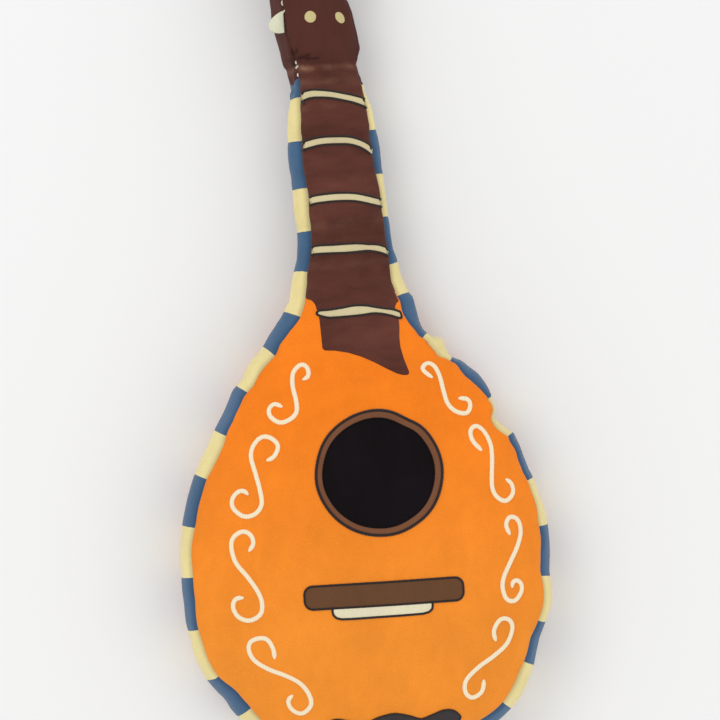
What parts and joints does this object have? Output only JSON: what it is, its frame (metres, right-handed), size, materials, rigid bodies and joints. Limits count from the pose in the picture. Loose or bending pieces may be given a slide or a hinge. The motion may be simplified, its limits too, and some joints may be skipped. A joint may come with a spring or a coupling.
{
  "type": "plush toy charango",
  "caption": "Stuffed soft toy in the shape of a charango, with a striped side band, sewn-on trim, and a neck and headstock that fold.",
  "frame": {"origin": "on the flat rest patch of the body's back, on the body's middle line", "axes": "+Z out of the front, +Y from the body to the headstock, +X to the right seen from the front"},
  "size_m": [0.184, 0.4668, 0.0652],
  "materials": {
    "orange_velour": "matte",
    "striped_velour": "matte",
    "stuffing": "matte",
    "brown_velour": "matte",
    "dark_brown_plush": "matte",
    "fret_cream": "matte",
    "black_pile": "matte",
    "ring_brown": "matte",
    "bridge_brown": "matte",
    "tailpiece_dark": "matte",
    "scroll_thread": "matte",
    "dot_cream": "matte",
    "stitch_thread": "matte",
    "tab_felt": "matte"
  },
  "bodies": {
    "body": {"body_stuffing": "stuffing", "body_front_panel": "orange_velour", "body_back_panel": "orange_velour", "body_gusset": "striped_velour", "fingerboard_tongue": "brown_velour", "fret_5": "fret_cream", "sound_hole_patch": "black_pile", "sound_hole_ring": "ring_brown", "bridge_patch": "bridge_brown", "saddle_patch": "fret_cream", "tailpiece_patch": "tailpiece_dark", "scroll_left_1": "scroll_thread", "scroll_left_2": "scroll_thread", "scroll_left_3": "scroll_thread", "scroll_left_4": "scroll_thread", "scroll_right_1": "scroll_thread", "scroll_right_2": "scroll_thread", "scroll_right_3": "scroll_thread", "scroll_right_4": "scroll_thread"},
    "neck": {"neck_stuffing": "stuffing", "neck_front_panel": "brown_velour", "neck_back_panel": "brown_velour", "neck_gusset_left": "striped_velour", "neck_gusset_right": "striped_velour", "fret_1": "fret_cream", "fret_2": "fret_cream", "fret_3": "fret_cream", "fret_4": "fret_cream"},
    "head": {"head_stuffing": "stuffing", "head_front_panel": "dark_brown_plush", "head_back_panel": "dark_brown_plush", "head_gusset": "dark_brown_plush", "post_dot_left_1": "dot_cream", "post_dot_left_2": "dot_cream", "post_dot_left_3": "dot_cream", "post_dot_left_4": "dot_cream", "post_dot_left_5": "dot_cream", "post_dot_right_1": "dot_cream", "post_dot_right_2": "dot_cream", "post_dot_right_3": "dot_cream", "post_dot_right_4": "dot_cream", "post_dot_right_5": "dot_cream", "closing_stitches": "stitch_thread"},
    "tab_left_1": {"peg_tab_left_1": "tab_felt"},
    "tab_left_2": {"peg_tab_left_2": "tab_felt"},
    "tab_left_3": {"peg_tab_left_3": "tab_felt"},
    "tab_left_4": {"peg_tab_left_4": "tab_felt"},
    "tab_left_5": {"peg_tab_left_5": "tab_felt"},
    "tab_right_2": {"peg_tab_right_2": "tab_felt"},
    "tab_right_3": {"peg_tab_right_3": "tab_felt"},
    "tab_right_4": {"peg_tab_right_4": "tab_felt"},
    "tab_right_5": {"peg_tab_right_5": "tab_felt"}
  },
  "joints": [
    {"name": "neck_fold", "type": "hinge", "parent": "body", "child": "neck", "pos_m": [-0.005, 0.133, 0.028], "axis": [0.9891, 0.104, -0.1045], "range_deg": [-50, 50], "stiffness_Nm_per_rad": 1.6},
    {"name": "head_fold", "type": "hinge", "parent": "neck", "child": "head", "pos_m": [-0.01619, 0.23941, 0.028], "axis": [0.9444, 0.1509, -0.2922], "range_deg": [-45, 45], "stiffness_Nm_per_rad": 0.6},
    {"name": "tab_left_1_fold", "type": "hinge", "parent": "head", "child": "tab_left_1", "pos_m": [-0.03522, 0.26113, 0.04215], "axis": [-0.1561, 0.9877, 0.0055], "range_deg": [-40, 80], "stiffness_Nm_per_rad": 0.0008},
    {"name": "tab_left_2_fold", "type": "hinge", "parent": "head", "child": "tab_left_2", "pos_m": [-0.03777, 0.27946, 0.04215], "axis": [-0.1561, 0.9877, 0.0055], "range_deg": [-40, 80], "stiffness_Nm_per_rad": 0.0008},
    {"name": "tab_left_3_fold", "type": "hinge", "parent": "head", "child": "tab_left_3", "pos_m": [-0.04022, 0.2978, 0.04211], "axis": [-0.1561, 0.9877, 0.0055], "range_deg": [-40, 80], "stiffness_Nm_per_rad": 0.0008},
    {"name": "tab_left_4_fold", "type": "hinge", "parent": "head", "child": "tab_left_4", "pos_m": [-0.04267, 0.31614, 0.04208], "axis": [-0.1561, 0.9877, 0.0055], "range_deg": [-40, 80], "stiffness_Nm_per_rad": 0.0008},
    {"name": "tab_left_5_fold", "type": "hinge", "parent": "head", "child": "tab_left_5", "pos_m": [-0.04506, 0.3345, 0.04138], "axis": [-0.1561, 0.9877, 0.0055], "range_deg": [-40, 80], "stiffness_Nm_per_rad": 0.0008},
    {"name": "tab_right_2_fold", "type": "hinge", "parent": "head", "child": "tab_right_2", "pos_m": [-0.00288, 0.28503, 0.03135], "axis": [0.1561, -0.9877, -0.0055], "range_deg": [-40, 80], "stiffness_Nm_per_rad": 0.0008},
    {"name": "tab_right_3_fold", "type": "hinge", "parent": "head", "child": "tab_right_3", "pos_m": [-0.0062, 0.30324, 0.03158], "axis": [0.1561, -0.9877, -0.0055], "range_deg": [-40, 80], "stiffness_Nm_per_rad": 0.0008},
    {"name": "tab_right_4_fold", "type": "hinge", "parent": "head", "child": "tab_right_4", "pos_m": [-0.00953, 0.32144, 0.03182], "axis": [0.1561, -0.9877, -0.0055], "range_deg": [-40, 80], "stiffness_Nm_per_rad": 0.0008},
    {"name": "tab_right_5_fold", "type": "hinge", "parent": "head", "child": "tab_right_5", "pos_m": [-0.01327, 0.33958, 0.03155], "axis": [0.1561, -0.9877, -0.0055], "range_deg": [-40, 80], "stiffness_Nm_per_rad": 0.0008}
  ]
}
